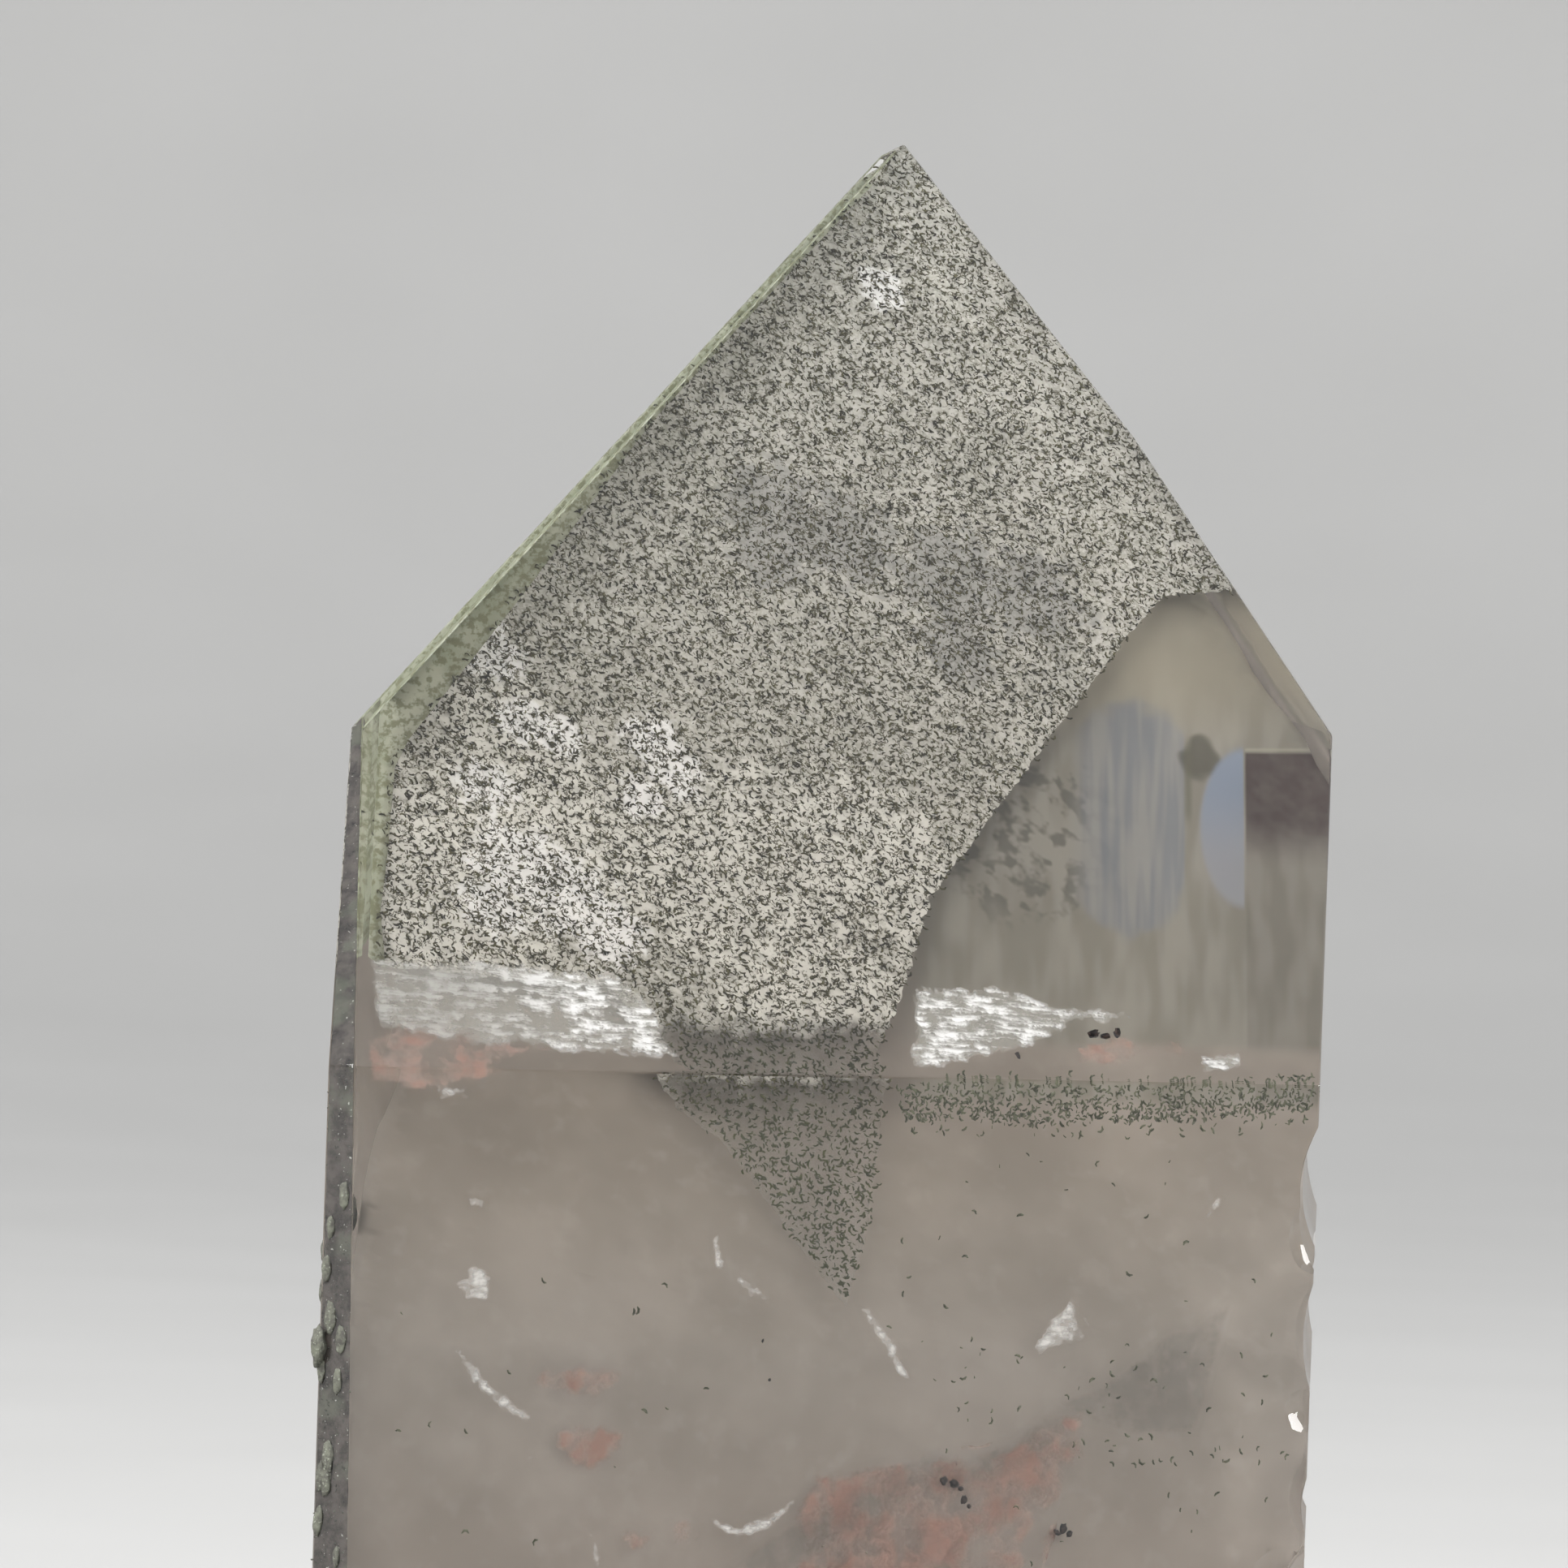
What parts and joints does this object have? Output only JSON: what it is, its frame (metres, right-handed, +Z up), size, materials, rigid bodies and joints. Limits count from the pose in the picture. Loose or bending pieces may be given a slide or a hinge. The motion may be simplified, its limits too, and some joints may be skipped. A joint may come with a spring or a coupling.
{
  "type": "chlorite quartz crystal",
  "caption": "Clear single quartz point with a green chlorite phantom sealed behind its big front face, a broken right side and a flat cut base to stand on.",
  "frame": {"origin": "middle of the flat cut base, under the middle of the crystal's bounding box", "axes": "+Z up along the crystal's long axis towards the point; the viewed side faces -Y; +X to the right as seen from there"},
  "size_m": [0.0367, 0.0447, 0.0693],
  "materials": {
    "quartz": "clear to milky rock crystal, glossy natural faces with fine level growth lines",
    "chlorite": "fine olive green to dark brown scaly grains, matt",
    "iron_oxide": "thin dull red hematite stain inside the quartz",
    "veil": "white healed cracks and milky veils inside the quartz"
  },
  "bodies": {
    "root": {"quartz_body": "quartz", "quartz_cap": "quartz", "chlorite_phantom": "chlorite"}
  },
  "joints": []
}
